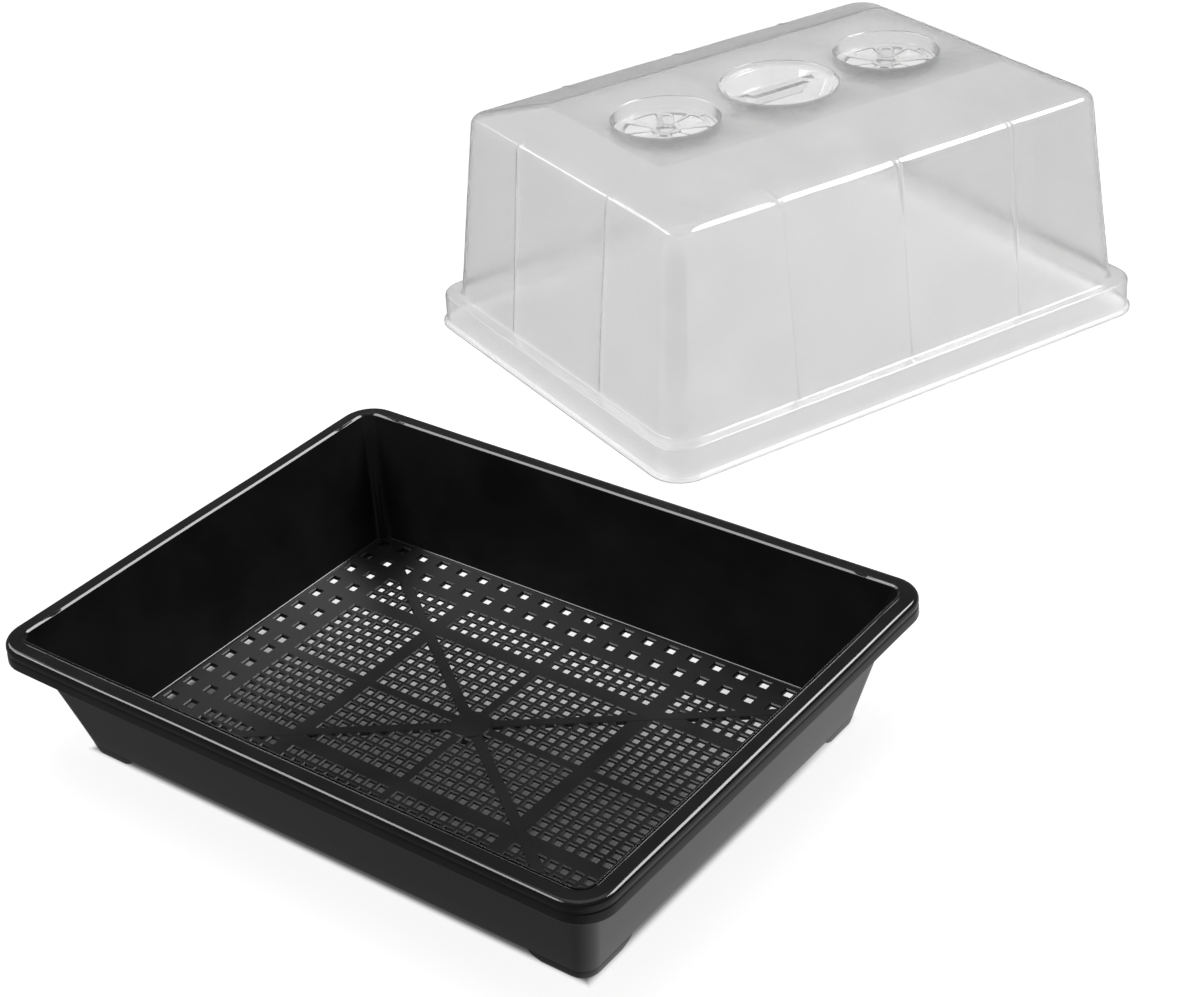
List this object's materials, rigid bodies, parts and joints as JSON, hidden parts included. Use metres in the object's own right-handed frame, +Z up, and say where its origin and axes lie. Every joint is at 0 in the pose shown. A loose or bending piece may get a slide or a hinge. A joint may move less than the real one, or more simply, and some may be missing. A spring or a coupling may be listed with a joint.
{
  "type": "humidity dome tray",
  "caption": "Black seed tray with a perforated mesh floor, and a clear high dome with a flanged skirt, a finger grip and turning vents on its flat top.",
  "frame": {"origin": "middle of the tray's footprint, on the underside of its middle foot, on the surface it stands on", "axes": "+Z up, X along the tray's long side, Y along its short side, with the dome standing on the same surface behind the tray on the +Y side, turned 69 degrees"},
  "size_m": [0.4908, 0.8285, 0.1629],
  "materials": {
    "black_plastic": "semi-gloss moulded",
    "black_plastic_mesh": "semi-gloss moulded",
    "clear_plastic": "clear, glossy",
    "clear_vent": "clear, glossy"
  },
  "bodies": {
    "tray": {"tray_shell": "black_plastic", "mesh_floor": "black_plastic_mesh"},
    "dome": {"dome_shell": "clear_plastic"},
    "vent_left": {"vent_disc_left": "clear_vent"},
    "vent_right": {"vent_disc_right": "clear_vent"}
  },
  "joints": [
    {"name": "dome_lift", "type": "slide", "parent": "tray", "child": "dome", "axis": [0, 0, 1], "range_m": [0, 0.2]},
    {"name": "vent_left_turn", "type": "hinge", "parent": "dome", "child": "vent_left", "pos_m": [-0.14382, 0.38871, 0.1538], "axis": [0, 0, 1], "range_deg": [0, 45]},
    {"name": "vent_right_turn", "type": "hinge", "parent": "dome", "child": "vent_right", "pos_m": [-0.08218, 0.54929, 0.1538], "axis": [0, 0, 1], "range_deg": [0, 45]}
  ]
}
